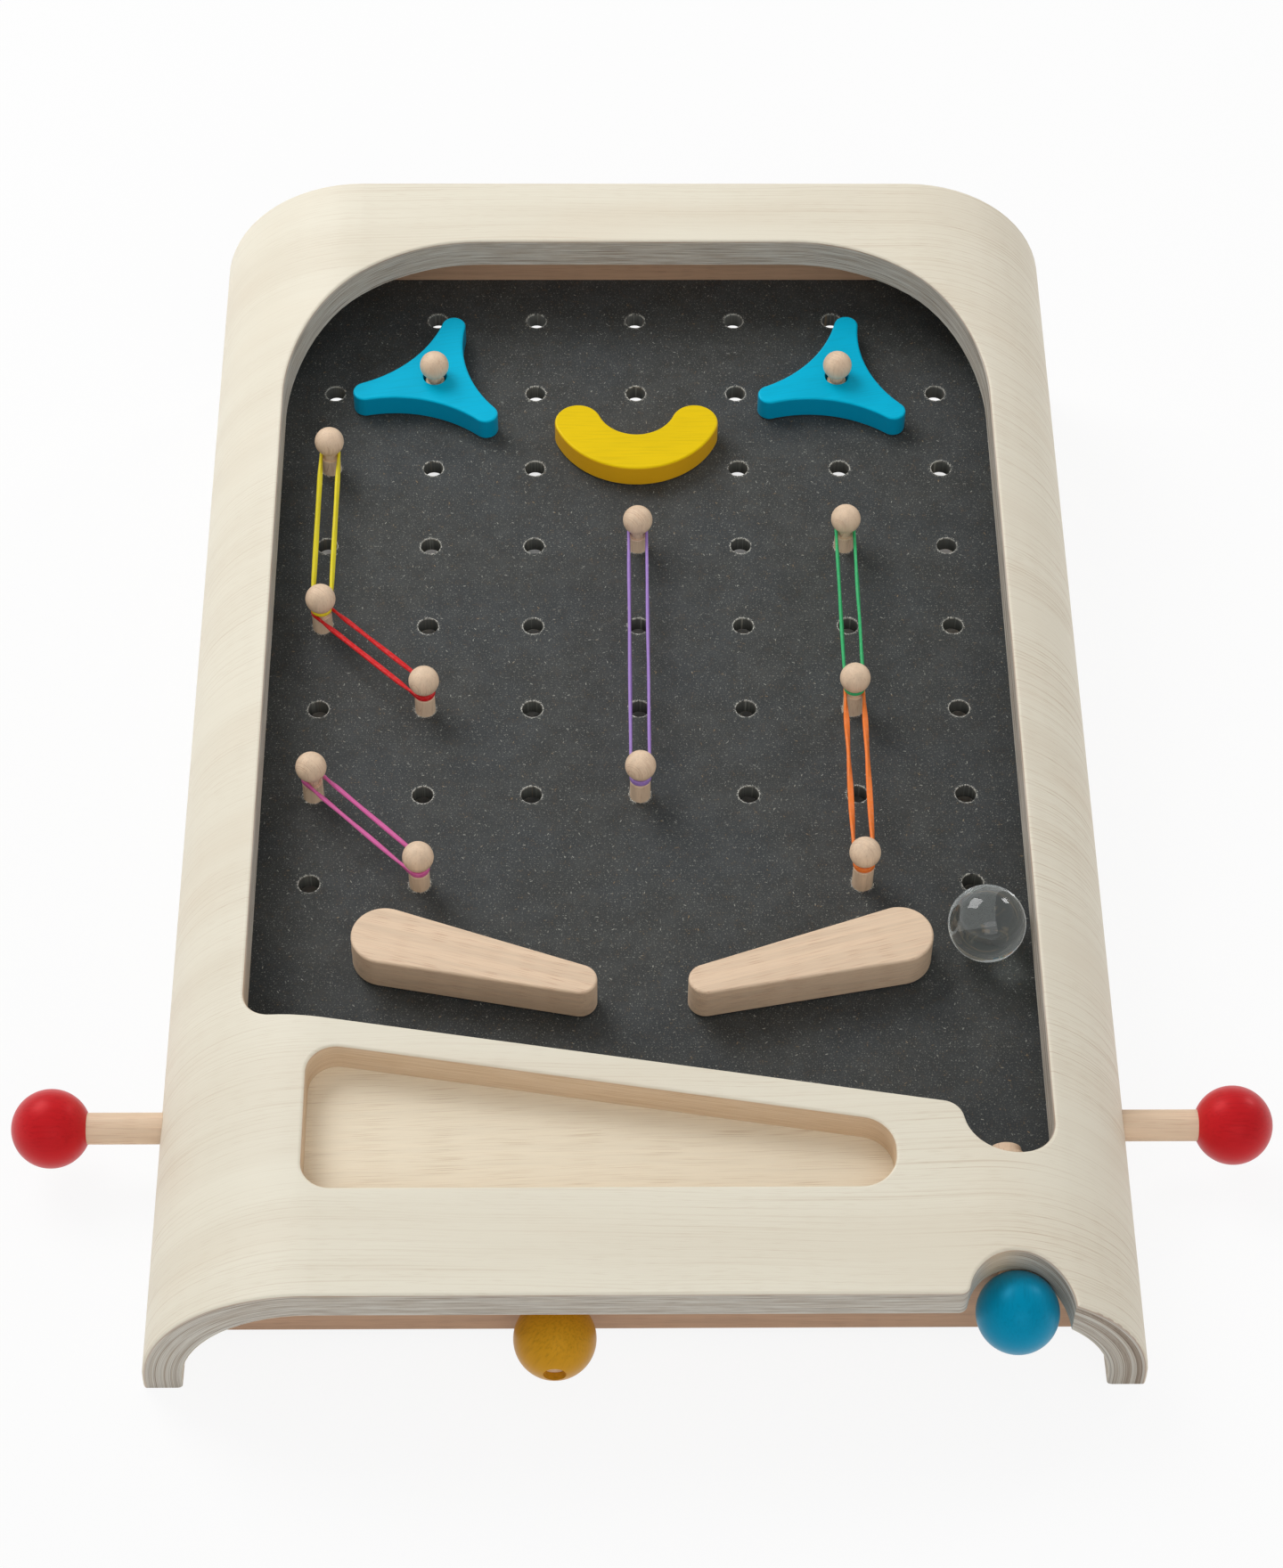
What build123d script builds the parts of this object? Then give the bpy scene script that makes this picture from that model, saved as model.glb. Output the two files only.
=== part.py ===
from build123d import *
import os
from math import asin, atan2, cos, degrees, hypot, pi, radians, sin, sqrt, tan

# A tabletop pinball game of bent plywood and beech. Lengths are in millimetres.
# Everything is drawn on the sloping board: X to the right, Y up the slope, Z square to the board.
# Zero is the middle of the peg grid, on the board's top face. The last section tilts it all to its slope.

# Shell: one plywood sheet bent down at both sides, cut level at the feet
slope_angle = 6.5
deck_width = 304
deck_length = 460
ply_thickness = 12
bend_radius = 53
foot_clearance = 1
ply_edge_round = 1
foot_round = 2
overrun = 2

# Openings cut in the deck
side_border = 28
opening_corner_radius = 68
opening_front_corner_radius = 11
back_border = 30
front_edge_border = 81
front_edge_angle = 9.2
pocket_gap = 1.5
pocket_border = 49
pocket_lip_radius = 7
tray_side_border = 21
tray_floor_gap = 0.5
tray_strip_width = 10
tray_left_radius = 9
tray_right_radius = 11
tray_end_share = 0.495
notch_gap = 3.5
notch_stand_off = 1
notch_corner_round = 3

# Play board and the strips that carry it
play_height = 20
board_thickness = 6
board_front_gap = 1.2
board_side_gap = 0.7
grid_front_border = 169
grid_back_border = 39
grid_side_border = 44
grid_rows = 8
grid_columns = 7
peg_hole_diameter = 7
rail_set_back = 12
rail_thickness = 12
scribe_gap = 0.2
apron_set_back = 17
apron_thickness = 12
apron_lift = 5
tray_floor_thickness = 5
tray_floor_lap = 7
batten_width = 14.5
batten_base = 5

# Fits
running_clearance = 0.06
glue_clearance = 0.05
loose_clearance = 0.4
rest_clearance = 0.3
pilot_clearance = 0.1

# Pegs, bands and bumpers
peg_fit_clearance = 0.1
peg_head_diameter = 10.2
peg_head_height = 14.8
peg_neck_diameter = 5.1
peg_shoulder_drop = 7.4
peg_shoulder_round = 0.4
peg_tip_gap = 0.5
band_thickness = 1.2
band_drop = 5.8
upper_band_drop = 4.95
lower_band_drop = 6.65
bumper_thickness = 9
bumper_edge_round = 0.8
star_reach = 30
star_tip_radius = 4.3
star_waist_radius = 12
star_hole_diameter = 8.6
left_star_angle = 76
right_star_angle = 80
crescent_arc_radius = 22.3
crescent_width = 16.5
crescent_angle = 136
crescent_pin_rise = 6

# Flippers and the push rods that swing them
flipper_inset = 42
flipper_row_gap = 30
drain_spare = 3.7
flipper_heel_radius = 10.6
flipper_tip_radius = 5.6
flipper_thickness = 14
flipper_lift = 0.6
flipper_edge_round = 0.9
flipper_rest_angle = 15.2
flipper_swing = 38
shaft_diameter = 8
shaft_rise = 9
crank_thickness = 6
crank_gap = 0.6
crank_arm = 30
crank_hub_radius = 9
crank_arm_width = 13
crank_end_wall = 3
crank_slot_play = 0.5
rod_diameter = 10
push_spare = 1.2
drive_pin_diameter = 5
drive_block_wall = 2.5
drive_block_gap = 0.5
drive_arm_width = 16
drive_arm_length = 24
drive_arm_gap = 0.6
drive_arm_thickness = 6
drive_arm_reach = 7
rod_tail = 4
guide_length = 14
guide_width = 28
spring_wire = 1
spring_bore_gap = 0.4
spring_spare = 0.4
return_spring_turns = 7

# Knobs, plunger, pull knob and marble
knob_diameter = 25
plunger_tip_reach = 11
plunger_travel = 15
collar_lip = 0.1
collar_headroom = 0.27
collar_length = 5
plunger_spring_turns = 7
pull_x = -27.3
pull_z = -2.6
pull_rod_diameter = 6.8
pull_plug_depth = 3
pull_travel = 10
pull_stop_diameter = 13
pull_stop_length = 4
pull_tail = 1.5
marble_diameter = 25
marble_reach = 144

# Screws
screw_diameter = 3.5
screw_head_diameter = 7
screw_head_height = 2.2
screw_slot_width = 0.9
screw_slot_depth = 0.9
batten_screw_bite = 7.5
batten_screw_rise = 4
batten_screw_count = 4
batten_screw_rod_gap = 10
batten_screw_end_gap = 20.4
guide_screw_bite = 3

# Sizes that follow from the ones above: the deck around the grid of holes
grid_width = deck_width - 2 * grid_side_border
grid_length = deck_length - grid_front_border - grid_back_border
column_pitch = grid_width / (grid_columns - 1)
row_pitch = grid_length / (grid_rows - 1)
deck_half = deck_width / 2
deck_front = -grid_length / 2 - grid_front_border
deck_back = grid_length / 2 + grid_back_border
inner_radius = bend_radius - ply_thickness
bend_x = deck_half - bend_radius
leg_inner = deck_half - ply_thickness

# Marble, plunger and launch lane
marble_radius = marble_diameter / 2
marble_y = deck_front + marble_reach
plunger_z = marble_radius
collar_diameter = rod_diameter + 2 * (spring_bore_gap + spring_wire + collar_lip)
opening_width = deck_width - 2 * side_border
opening_half = opening_width / 2
pocket_radius = marble_radius + pocket_gap
lane_x = opening_half - pocket_radius

# Under the board
rod_drop = rod_diameter / 2 + drive_block_wall + drive_block_gap
rod_z = -board_thickness - rod_drop
batten_height = rod_drop + rod_diameter / 2 + batten_base
batten_bottom = -board_thickness - batten_height

# Shell
deck_top = play_height + ply_thickness
bend_z = deck_top - bend_radius
foot_front_z = batten_bottom - foot_clearance
foot_back_z = foot_front_z - deck_length * tan(radians(slope_angle))

# Openings
opening_back = deck_back - back_border
pocket_front = deck_front + pocket_border
tray_left_reach = opening_half - tray_side_border
tray_right_reach = lane_x - pocket_radius - tray_side_border
tray_border = apron_set_back + apron_thickness + tray_floor_lap + tray_floor_gap

# Knobs and strips
knob_radius = knob_diameter / 2
notch_radius = knob_radius + notch_gap
apron_front = deck_front + apron_set_back
apron_back = apron_front + apron_thickness
knob_y = apron_front - knob_radius - rest_clearance
rail_front = opening_back + rail_set_back
pull_stop_front = apron_back + pull_travel + rest_clearance
pull_end = pull_stop_front + pull_stop_length + pull_tail
board_front = pull_end + board_front_gap
board_back = rail_front + rail_thickness
board_length = board_back - board_front
batten_inner = leg_inner - batten_width
batten_screw_length = batten_width + batten_screw_bite
guide_screw_length = batten_height + guide_screw_bite

# Plunger
plunger_tip = pocket_front + plunger_tip_reach
plunger_spring_length = plunger_travel + plunger_spring_turns * spring_wire + spring_spare
collar_front = apron_back + plunger_spring_length + 2 * rest_clearance
collar_back = collar_front + collar_length

# Pegs, bands and bumpers
peg_diameter = peg_hole_diameter - 2 * peg_fit_clearance
peg_bottom = peg_tip_gap - board_thickness
peg_length = peg_head_height - peg_bottom
tip_distance = star_reach - star_tip_radius

# Left flipper and its drive, in the order in which it follows from the crank
flipper_pivot_x = opening_half - flipper_inset
flipper_pivot_y = deck_front + grid_front_border - flipper_row_gap
flipper_span = flipper_pivot_x - flipper_tip_radius - (marble_diameter + drain_spare) / 2
flipper_length = flipper_span / cos(radians(flipper_rest_angle))
shaft_x = -flipper_pivot_x
half_swing = radians(flipper_swing / 2)
rod_travel = crank_arm * (half_swing + tan(half_swing))
knob_reach = deck_half + rod_travel + knob_radius + push_spare
pin_x = shaft_x - rod_travel / 2
pin_y = flipper_pivot_y - crank_arm
rod_y = pin_y - drive_arm_length
crank_top = -board_thickness - crank_gap
crank_bottom = crank_top - crank_thickness
arm_top = crank_bottom - drive_arm_gap
arm_bottom = arm_top - drive_arm_thickness
drive_outer = -batten_inner + rest_clearance
drive_inner = pin_x + drive_arm_width / 2
return_spring_length = rod_travel + return_spring_turns * spring_wire + spring_spare
guide_outer = drive_inner + return_spring_length + 2 * rest_clearance
guide_inner = guide_outer + guide_length
rod_inner = guide_inner + rod_tail


def prism(outline, bottom, top):
    """A plan outline carried up from one height to another."""
    return Pos(0, 0, bottom) * extrude(outline, top - bottom)


def bar(section, front, length):
    """A section drawn in X and Z, carried back along the slope."""
    return extrude(Plane.XZ.offset(-front - length) * section, length)


def upright(radius, bottom, top, x, y):
    """A round bar along Z."""
    return Pos(x, y, (bottom + top) / 2) * Cylinder(radius, top - bottom)


def push_bar(clearance, start, end):
    """A round bar along the left push rod's axis, the rod itself or, with a clearance, its bore."""
    middle = Pos((start + end) / 2, rod_y, rod_z)
    return middle * Rot(0, 90, 0) * Cylinder(rod_diameter / 2 + clearance, end - start)


def lane_bar(radius, start, end):
    """A round bar along the plunger's axis."""
    return Pos(lane_x, (start + end) / 2, plunger_z) * Rot(90, 0, 0) * Cylinder(radius, end - start)


def pull_bar(radius, start, end):
    """A round bar along the pull rod's axis."""
    return Pos(pull_x, (start + end) / 2, pull_z) * Rot(90, 0, 0) * Cylinder(radius, end - start)


def block(low, high):
    """A plain block between two corners."""
    size = [b - a for a, b in zip(low, high)]
    middle = [(a + b) / 2 for a, b in zip(low, high)]
    return Pos(*middle) * Box(*size)


def rounded(outline, x, y, radius):
    """The outline with its corner nearest to a point rounded."""
    return fillet(outline.vertices().sort_by_distance((x, y, 0))[0], radius)


def ball(x, y, z, radius):
    """A ball with its seam away from the middle of the game, where the bores are."""
    return Pos(x, y, z) * Rot(0, 0, 135) * Sphere(radius)


def u_profile(half_width, top, corner_radius):
    """The upright outline of a sheet bent down at both sides, closed below the feet."""
    bottom = foot_back_z - overrun
    outline = make_face(Polyline((-half_width, bottom), (-half_width, top), (half_width, top),
                                 (half_width, bottom), close=True))
    for side in (-half_width, half_width):
        outline = rounded(outline, side, top, corner_radius)
    return outline


def inner_wall(z):
    """How far from the middle the sheet's inside lies at a height."""
    return bend_x + sqrt(inner_radius**2 - max(z - bend_z, 0)**2)


def level_band(bottom, top):
    """A wide band between two heights, to cut an upright outline to."""
    return Pos(0, (bottom + top) / 2) * Rectangle(deck_width, top - bottom)


def front_edge(x, set_back=0):
    """Where the sloping front edge of the opening lies at a place across the deck."""
    return deck_front + front_edge_border - set_back - x * tan(radians(front_edge_angle))


def grid_place(row, column):
    """The middle of a peg hole."""
    return column * column_pitch, grid_length / 2 - row * row_pitch


def grid_holes():
    """Every hole of the board: the back row lacks its ends, the front row its middle."""
    side = grid_columns // 2
    for row in range(grid_rows):
        for column in range(-side, side + 1):
            cut_back_end = row == 0 and abs(column) == side
            cut_front_middle = row == grid_rows - 1 and abs(column) < side - 1
            if not (cut_back_end or cut_front_middle):
                yield grid_place(row, column)


def opening_outline():
    """The play opening: round back corners, a sloping front edge and the launch pocket."""
    along = Vector(1, 0, 0).rotate(Axis.Z, -front_edge_angle)
    inward = Vector(0, -1, 0).rotate(Axis.Z, -front_edge_angle)
    middle = Vector(0, front_edge(0), 0)
    bowl = Vector(lane_x, pocket_front + pocket_radius, 0)
    offset = middle + inward * pocket_lip_radius - bowl
    reach = pocket_radius + pocket_lip_radius
    shift = -along.dot(offset) - sqrt(along.dot(offset)**2 - offset.dot(offset) + reach**2)
    lip_centre = bowl + offset + along * shift
    lip_start = middle + along * shift
    lip_end = bowl + (lip_centre - bowl) * (pocket_radius / reach)
    lip_top = lip_centre + ((lip_start + lip_end) * 0.5 - lip_centre).normalized() * pocket_lip_radius
    bowl_end = bowl + Vector(pocket_radius, 0, 0)
    straight = Polyline(bowl_end, (opening_half, opening_back), (-opening_half, opening_back),
                        (-opening_half, front_edge(-opening_half)), lip_start)
    lip = ThreePointArc(lip_start, lip_top, lip_end)
    pocket = ThreePointArc(lip_end, bowl - Vector(0, pocket_radius, 0), bowl_end)
    outline = make_face(straight.edges() + lip.edges() + pocket.edges())
    outline = rounded(outline, -opening_half, opening_back, opening_corner_radius)
    outline = rounded(outline, opening_half, opening_back, opening_corner_radius)
    return rounded(outline, -opening_half, front_edge(-opening_half), opening_front_corner_radius)


def tray_outline(lap=0):
    """The tray beside the launch pocket, or the panel under it when a lap is given."""
    left = -tray_left_reach - lap
    right = tray_right_reach + lap
    front = deck_front + tray_border - lap
    set_back = tray_strip_width - lap
    outline = make_face(Polyline((left, front), (left, front_edge(left, set_back)),
                                 (right, front_edge(right, set_back)), (right, front), close=True))
    for side, radius in ((left, tray_left_radius), (right, tray_right_radius)):
        corner = min(radius, tray_end_share * (front_edge(side, set_back) - front))
        outline = rounded(outline, side, front, corner)
        outline = rounded(outline, side, front_edge(side, set_back), corner)
    return outline


def screw_body(length, grown=0):
    """A countersunk screw without its slot: head up at zero, shank down; grown, it is the screw's hole."""
    shank = upright(screw_diameter / 2 + grown, -length - grown, 0, 0, 0)
    head = Cone(screw_diameter / 2 + grown, screw_head_diameter / 2 + grown, screw_head_height)
    return shank + Pos(0, 0, -screw_head_height / 2) * head


def screw(length):
    """A countersunk wood screw with a plain slot."""
    slot = Box(screw_head_diameter, screw_slot_width, screw_slot_depth)
    return screw_body(length) - Pos(0, 0, -screw_slot_depth / 2) * slot


def helix_point(radius, pitch, turn):
    """A point of a helix that climbs along X."""
    angle = 2 * pi * turn
    return Vector(pitch * turn, radius * cos(angle), radius * sin(angle))


def helix_tangent(radius, pitch, turn):
    """The direction of that helix at the point."""
    angle = 2 * pi * turn
    return Vector(pitch, -2 * pi * radius * sin(angle), 2 * pi * radius * cos(angle)).normalized()


def coil_spring(name, bore, length, turns):
    """An open coil spring along X from zero: one wire swept on a biarc for each quarter turn."""
    radius = bore / 2 + spring_bore_gap + spring_wire / 2
    pitch = (length - spring_wire) / turns
    arcs = []
    for step in range(4 * turns):
        start = helix_point(radius, pitch, step / 4)
        end = helix_point(radius, pitch, (step + 1) / 4)
        leave = helix_tangent(radius, pitch, step / 4)
        arrive = helix_tangent(radius, pitch, (step + 1) / 4)
        chord = end - start
        along = chord.dot(leave + arrive)
        spread = 2 * (1 - leave.dot(arrive))
        arm = (sqrt(along**2 + spread * chord.dot(chord)) - along) / spread
        middle = (start + leave * arm + end - arrive * arm) * 0.5
        turned = ((end - arrive * arm) - (start + leave * arm)).normalized()
        arcs.append(Edge.make_tangent_arc(start, leave, middle))
        arcs.append(Edge.make_tangent_arc(middle, turned, end))
    path = Wire(arcs)
    wire = sweep(Plane(origin=path @ 0, z_dir=path % 0) * Circle(spring_wire / 2), path=path)
    points = [edge @ share for edge in arcs for share in (0, 0.5)]
    per_turn = 16
    gap = min((a - b).length for i, a in enumerate(points) for b in points[i + per_turn // 2:]) - spring_wire
    share = wire.volume / (path.length * pi * spring_wire**2 / 4)
    print(f"{name}: least gap between turns {gap:.2f} mm, volume over section times length {share:.3f}")
    return Pos(spring_wire / 2, 0, 0) * wire


def skin_border(body):
    """The edges that bound the sheet's outer skin: the deck, the two bends and the outsides of the legs."""
    skin = [face for face in body.faces() if on_outer_skin(face)]
    border = []
    for face in skin:
        for edge in face.edges():
            if edge in border:
                border.remove(edge)
            else:
                border.append(edge)
    return border


def on_outer_skin(face):
    """Whether a face belongs to the deck's top, the outside of a bend or the outside of a leg."""
    point = face.center(CenterOf.GEOMETRY) if face.geom_type == GeomType.PLANE else face.position_at(0.5, 0.5)
    on_top = abs(point.Z - deck_top) < glue_clearance
    on_leg = abs(abs(point.X) - deck_half) < glue_clearance
    from_bend = hypot(abs(point.X) - bend_x, point.Z - bend_z)
    return on_top or on_leg or (point.Z > bend_z and abs(from_bend - bend_radius) < glue_clearance)


def plywood_shell():
    """The bent sheet with its openings and push rod holes, hollowed under the deck for the plunger."""
    section = u_profile(deck_half, deck_top, bend_radius) - u_profile(leg_inner, play_height, inner_radius)
    body = bar(section, deck_front, deck_length)
    up = Vector(0, sin(radians(slope_angle)), cos(radians(slope_angle)))
    front_foot = Vector(0, deck_front, foot_front_z)
    body = split(body, bisect_by=Plane(origin=front_foot, z_dir=up), keep=Keep.TOP)
    foot_insides = body.edges().filter_by(
        lambda edge: abs(abs(edge.center().X) - leg_inner) < glue_clearance
        and abs((edge.center() - front_foot).dot(up)) < glue_clearance)
    body = fillet(foot_insides, foot_round)
    notch = Pos(lane_x, deck_front - notch_stand_off) * Circle(notch_radius)
    for outline in (opening_outline(), tray_outline(), notch):
        body -= prism(outline, 0, deck_top + overrun)
    notch_corners = body.edges().filter_by(Axis.Z).filter_by(
        lambda edge: abs(edge.center().Y - deck_front) < glue_clearance
        and abs(edge.center().X - lane_x) < notch_radius)
    body = fillet(notch_corners.sort_by(Axis.X)[:1], notch_corner_round)
    body = fillet(skin_border(body), ply_edge_round)
    body -= lane_bar(collar_diameter / 2 + collar_headroom, apron_back, collar_back + collar_headroom)
    body -= ball(lane_x, knob_y, plunger_z, knob_radius + loose_clearance)
    hole = push_bar(loose_clearance, -deck_half - overrun, -leg_inner + overrun)
    return body - hole - mirror(hole, Plane.YZ)


def play_board():
    """The dark board with its grid of peg holes and the two flipper shaft holes."""
    half = inner_wall(0) - board_side_gap
    board = block((-half, board_front, -board_thickness), (half, board_back, 0))
    for x, y in grid_holes():
        board -= upright(peg_hole_diameter / 2, -board_thickness, 0, x, y)
    for x in (-flipper_pivot_x, flipper_pivot_x):
        board -= upright(shaft_diameter / 2 + running_clearance, -board_thickness, 0, x, flipper_pivot_y)
    return board


def back_rail():
    """The strip between board and deck that stops the marble at the back."""
    section = u_profile(leg_inner - scribe_gap, play_height, inner_radius) & level_band(0, play_height)
    return bar(section, rail_front, rail_thickness)


def front_apron():
    """The strip under the front edge, bored for the plunger and the pull rod."""
    section = u_profile(leg_inner - scribe_gap, play_height, inner_radius)
    section &= level_band(foot_front_z + apron_lift, play_height)
    apron = bar(section, apron_front, apron_thickness)
    apron -= lane_bar(rod_diameter / 2 + running_clearance, apron_front - overrun, apron_back + overrun)
    apron -= pull_bar(pull_rod_diameter / 2 + running_clearance, apron_front - overrun, apron_back + overrun)
    return apron


def tray_floor():
    """The panel glued under the tray, its left edge scribed to the bend."""
    panel = prism(tray_outline(tray_floor_lap), play_height - tray_floor_thickness, play_height)
    return panel & bar(u_profile(leg_inner - scribe_gap, play_height, inner_radius), deck_front, deck_length)


def left_batten():
    """The strip along the leg that the board rests on, eased to the bend and bored for the push rod."""
    top_x = scribe_gap - inner_wall(-board_thickness)
    bend_start = min(bend_z, -board_thickness)
    section = make_face(Polyline((-leg_inner, batten_bottom), (-leg_inner, bend_start),
                                 (top_x, -board_thickness), (-batten_inner, -board_thickness),
                                 (-batten_inner, batten_bottom), close=True))
    batten = bar(section, board_front, board_length)
    return batten - push_bar(running_clearance, -leg_inner - overrun, -batten_inner + overrun)


def batten_screw_places():
    """Where the screws enter the left batten, heads towards the middle."""
    first = rod_y + batten_screw_rod_gap
    pitch = (board_back - batten_screw_end_gap - first) / (batten_screw_count - 1)
    for step in range(batten_screw_count):
        yield Pos(-batten_inner, first + step * pitch, batten_bottom + batten_screw_rise) * Rot(0, 90, 0)


def left_flipper():
    """The wooden bat, at rest with its tip towards the player."""
    heel = Circle(flipper_heel_radius)
    tip = Pos(flipper_length, 0) * Circle(flipper_tip_radius)
    bat = extrude(make_hull(heel.edges() + tip.edges()), flipper_thickness)
    bat = fillet(bat.edges().filter_by(lambda edge: abs(edge.tangent_at(0.5).Z) < 0.5), flipper_edge_round)
    bat -= upright(shaft_diameter / 2 + glue_clearance, 0, shaft_rise - flipper_lift, 0, 0)
    return Pos(shaft_x, flipper_pivot_y, flipper_lift) * Rot(0, 0, -flipper_rest_angle) * bat


def left_shaft():
    """The dowel from the flipper through the board to the crank."""
    return upright(shaft_diameter / 2, crank_bottom, shaft_rise, shaft_x, flipper_pivot_y)


def left_crank():
    """The slotted lever under the board, turned back by half the swing at rest."""
    slot_width = drive_pin_diameter + 2 * crank_slot_play
    far_pin = crank_arm / cos(half_swing) + crank_slot_play
    near_pin = crank_arm - crank_slot_play
    end_y = crank_arm_width / 2 - far_pin - slot_width / 2 - crank_end_wall
    slot = Rot(0, 0, 90) * SlotCenterToCenter(far_pin - near_pin, slot_width)
    outline = Circle(crank_hub_radius)
    outline += Pos(0, end_y / 2) * Rectangle(crank_arm_width, -end_y)
    outline += Pos(0, end_y) * Circle(crank_arm_width / 2)
    outline -= Circle(shaft_diameter / 2 + glue_clearance)
    outline -= Pos(0, -(near_pin + far_pin) / 2) * slot
    lever = prism(outline, crank_bottom, crank_top)
    return Pos(shaft_x, flipper_pivot_y, 0) * Rot(0, 0, -flipper_swing / 2) * lever


def left_drive_block():
    """The block on the push rod, with an arm that reaches back under the crank."""
    half = rod_diameter / 2 + drive_block_wall
    hub = block((drive_outer, rod_y - half, rod_z - half), (drive_inner, rod_y + half, rod_z + half))
    arm = block((pin_x - drive_arm_width / 2, rod_y, arm_bottom),
                (pin_x + drive_arm_width / 2, pin_y + drive_arm_reach, arm_top))
    body = hub + arm - push_bar(glue_clearance, drive_outer - overrun, drive_inner + overrun)
    return body - upright(drive_pin_diameter / 2 + glue_clearance, arm_bottom, arm_top, pin_x, pin_y)


def left_drive_pin():
    """The pin that stands in the crank's slot."""
    return upright(drive_pin_diameter / 2, arm_bottom, crank_top, pin_x, pin_y)


def left_push_rod():
    """The dowel from the red knob to the inner guide."""
    return push_bar(0, -knob_reach, rod_inner)


def left_push_knob():
    """The red ball, bored to its middle for the dowel."""
    bore = push_bar(glue_clearance, -knob_reach, -knob_reach + knob_diameter)
    return ball(-knob_reach, rod_y, rod_z, knob_radius) - bore


def left_guide():
    """The block under the board that steadies the inner end of the push rod."""
    half = guide_width / 2
    body = block((guide_outer, rod_y - half, batten_bottom), (guide_inner, rod_y + half, -board_thickness))
    return body - push_bar(running_clearance, guide_outer - overrun, guide_inner + overrun)


def guide_screw_places():
    """Where the screws enter the left guide from below."""
    off = (guide_width / 2 + rod_diameter / 2) / 2
    for y in (rod_y - off, rod_y + off):
        yield Pos((guide_outer + guide_inner) / 2, y, batten_bottom) * Rot(180, 0, 0)


def left_return_spring():
    """The coil spring between the drive block and the guide."""
    coil = coil_spring("return spring", rod_diameter, return_spring_length, return_spring_turns)
    return Pos(drive_inner + rest_clearance, rod_y, rod_z) * coil


def peg(head):
    """A ball-headed peg in its hole, with a turned neck under the head for a rubber band."""
    shoulder = head.Z - peg_shoulder_drop
    stem = upright(peg_diameter / 2, head.Z - peg_length, shoulder, head.X, head.Y)
    stem = fillet(stem.edges().group_by(Axis.Z)[-1], peg_shoulder_round)
    neck = upright(peg_neck_diameter / 2, shoulder, head.Z, head.X, head.Y)
    return stem + neck + Pos(head) * Sphere(peg_head_diameter / 2)


def rubber_band(start, end):
    """A rubber band stretched round the necks of two pegs."""
    run = end - start
    loop_radius = (peg_neck_diameter + band_thickness) / 2 + glue_clearance
    path = SlotCenterToCenter(run.length, 2 * loop_radius).wire()
    loop = sweep(Plane(origin=path @ 0, z_dir=path % 0) * Circle(band_thickness / 2), path=path)
    turn = degrees(atan2(run.Y, run.X))
    rise = degrees(asin(run.Z / run.length))
    return Pos((start + end) * 0.5) * Rot(0, 0, turn) * Rot(0, -rise, 0) * loop


def star(head, angle):
    """A three-armed bumper with hollow sides, loose on its peg."""
    side_radius = (star_waist_radius**2 + tip_distance**2 - tip_distance * star_waist_radius
                   - star_tip_radius**2) / (tip_distance + 2 * star_tip_radius - 2 * star_waist_radius)
    side_distance = star_waist_radius + side_radius
    edges = []
    for arm in range(3):
        tip = Vector(tip_distance, 0, 0).rotate(Axis.Z, 120 * arm)
        before = Vector(side_distance, 0, 0).rotate(Axis.Z, 120 * arm - 60)
        after = Vector(side_distance, 0, 0).rotate(Axis.Z, 120 * arm + 60)
        following = Vector(tip_distance, 0, 0).rotate(Axis.Z, 120 * arm + 120)
        first = tip + (before - tip).normalized() * star_tip_radius
        last = tip + (after - tip).normalized() * star_tip_radius
        next_first = following + (after - following).normalized() * star_tip_radius
        edges.append(ThreePointArc(first, tip.normalized() * star_reach, last))
        edges.append(ThreePointArc(last, after.normalized() * star_waist_radius, next_first))
    body = extrude(make_face(edges), bumper_thickness)
    body = fillet(body.edges().group_by(Axis.Z)[0] + body.edges().group_by(Axis.Z)[-1], bumper_edge_round)
    body -= upright(star_hole_diameter / 2, 0, bumper_thickness, 0, 0)
    return Pos(head.X, head.Y, rest_clearance) * Rot(0, 0, angle) * body


def crescent():
    """The yellow banana bumper, horns towards the back."""
    x, y = grid_place(2, 0)
    arc = CenterArc((0, crescent_arc_radius), crescent_arc_radius, -90 - crescent_angle / 2, crescent_angle)
    body = extrude(SlotArc(arc, crescent_width), bumper_thickness)
    body = fillet(body.edges().group_by(Axis.Z)[0] + body.edges().group_by(Axis.Z)[-1], bumper_edge_round)
    body -= upright(peg_diameter / 2 + glue_clearance, 0, crescent_pin_rise, 0, 0)
    return Pos(x, y, rest_clearance) * body


def crescent_pin():
    """The dowel under the crescent that stands in a peg hole."""
    return upright(peg_diameter / 2, peg_bottom, rest_clearance + crescent_pin_rise, *grid_place(2, 0))


def plunger_rod():
    """The launching dowel, from the blue knob to the pocket."""
    return lane_bar(rod_diameter / 2, knob_y, plunger_tip)


def plunger_knob():
    """The blue ball, bored to its middle for the dowel."""
    bore = lane_bar(rod_diameter / 2 + glue_clearance, knob_y, knob_y + knob_diameter)
    return ball(lane_x, knob_y, plunger_z, knob_radius) - bore


def plunger_collar():
    """The ring on the dowel that the spring pushes."""
    bore = lane_bar(rod_diameter / 2 + glue_clearance, collar_front - overrun, collar_back + overrun)
    return lane_bar(collar_diameter / 2, collar_front, collar_back) - bore


def plunger_spring():
    """The coil spring between the apron and the collar."""
    coil = coil_spring("plunger spring", rod_diameter, plunger_spring_length, plunger_spring_turns)
    return Pos(lane_x, apron_back + rest_clearance, plunger_z) * Rot(0, 0, 90) * coil


def pull_rod():
    """The dowel of the yellow knob; its end shows deep in the knob's bore."""
    return pull_bar(pull_rod_diameter / 2, knob_y - knob_radius + pull_plug_depth, pull_end)


def pull_knob():
    """The yellow ball, bored right through."""
    bore = pull_bar(pull_rod_diameter / 2 + glue_clearance, knob_y - knob_diameter, knob_y + knob_diameter)
    return ball(pull_x, knob_y, pull_z, knob_radius) - bore


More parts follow.
